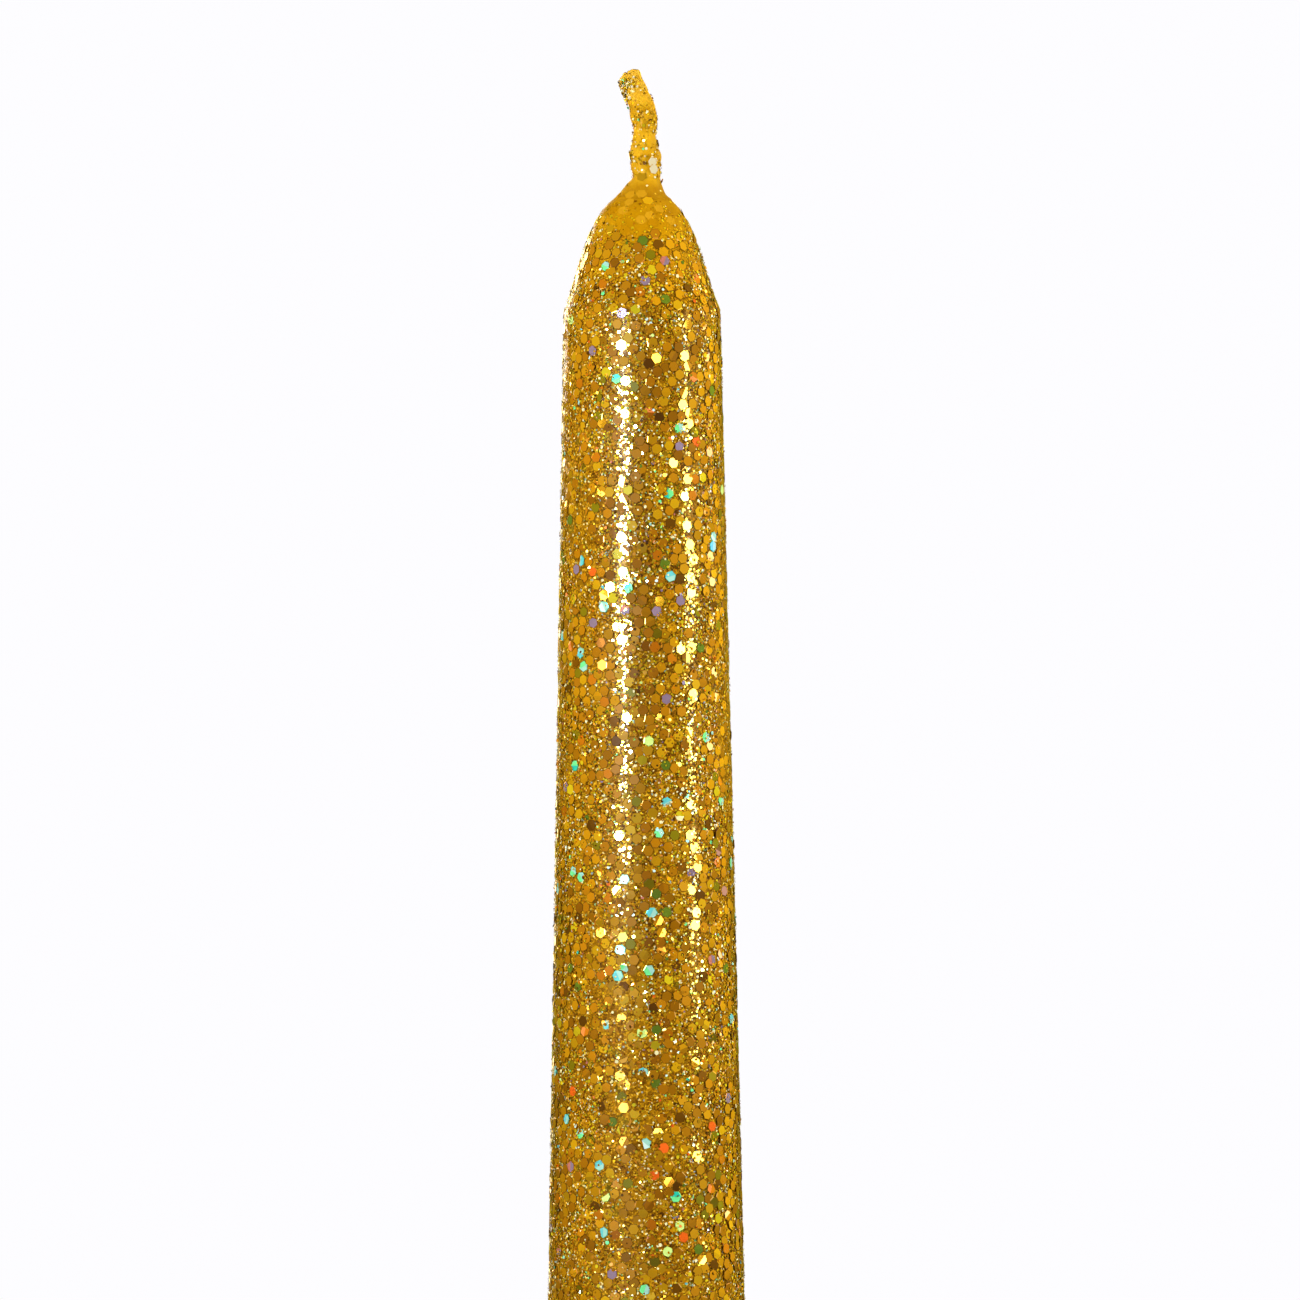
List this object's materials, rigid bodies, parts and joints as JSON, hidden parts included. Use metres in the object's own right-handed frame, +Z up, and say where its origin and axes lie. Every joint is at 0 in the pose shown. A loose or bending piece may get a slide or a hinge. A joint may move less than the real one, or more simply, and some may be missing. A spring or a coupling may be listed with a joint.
{
  "type": "taper candle",
  "caption": "Tall taper candle in gold wax under a glitter lacquer, with a plaited cotton wick whose waxed free end bends, and a straight butt that stands in a holder.",
  "frame": {"origin": "centre of the cut base", "axes": "+Z up the candle's axis to the wick, +X to the right in the picture, +Y away from the picture's camera"},
  "size_m": [0.0216, 0.0216, 0.2492],
  "materials": {
    "ivory_wax": "plain pressed wax, matt",
    "gold_wax": "amber-gold dyed wax, glossy",
    "glitter_lacquer": "clear gloss lacquer full of fine glitter",
    "glitter_film": "mirror-bright holographic gold film",
    "cotton": "plaited cotton soaked in wax"
  },
  "bodies": {
    "candle": {"wax_core": "ivory_wax", "gold_wax_skin": "gold_wax", "lacquer_film": "glitter_lacquer", "glitter_flakes": "glitter_film", "wick_strand_left": "cotton", "wick_strand_middle": "cotton", "wick_strand_right": "cotton"},
    "wick_end": {"wick_end_wax": "gold_wax", "wick_end_flakes": "glitter_film", "wick_end_strand_left": "cotton", "wick_end_strand_middle": "cotton", "wick_end_strand_right": "cotton"}
  },
  "joints": [
    {"name": "wick_bend", "type": "hinge", "parent": "candle", "child": "wick_end", "pos_m": [0, 0, 0.24], "axis": [0, 1, 0], "range_deg": [-60, 60]}
  ]
}
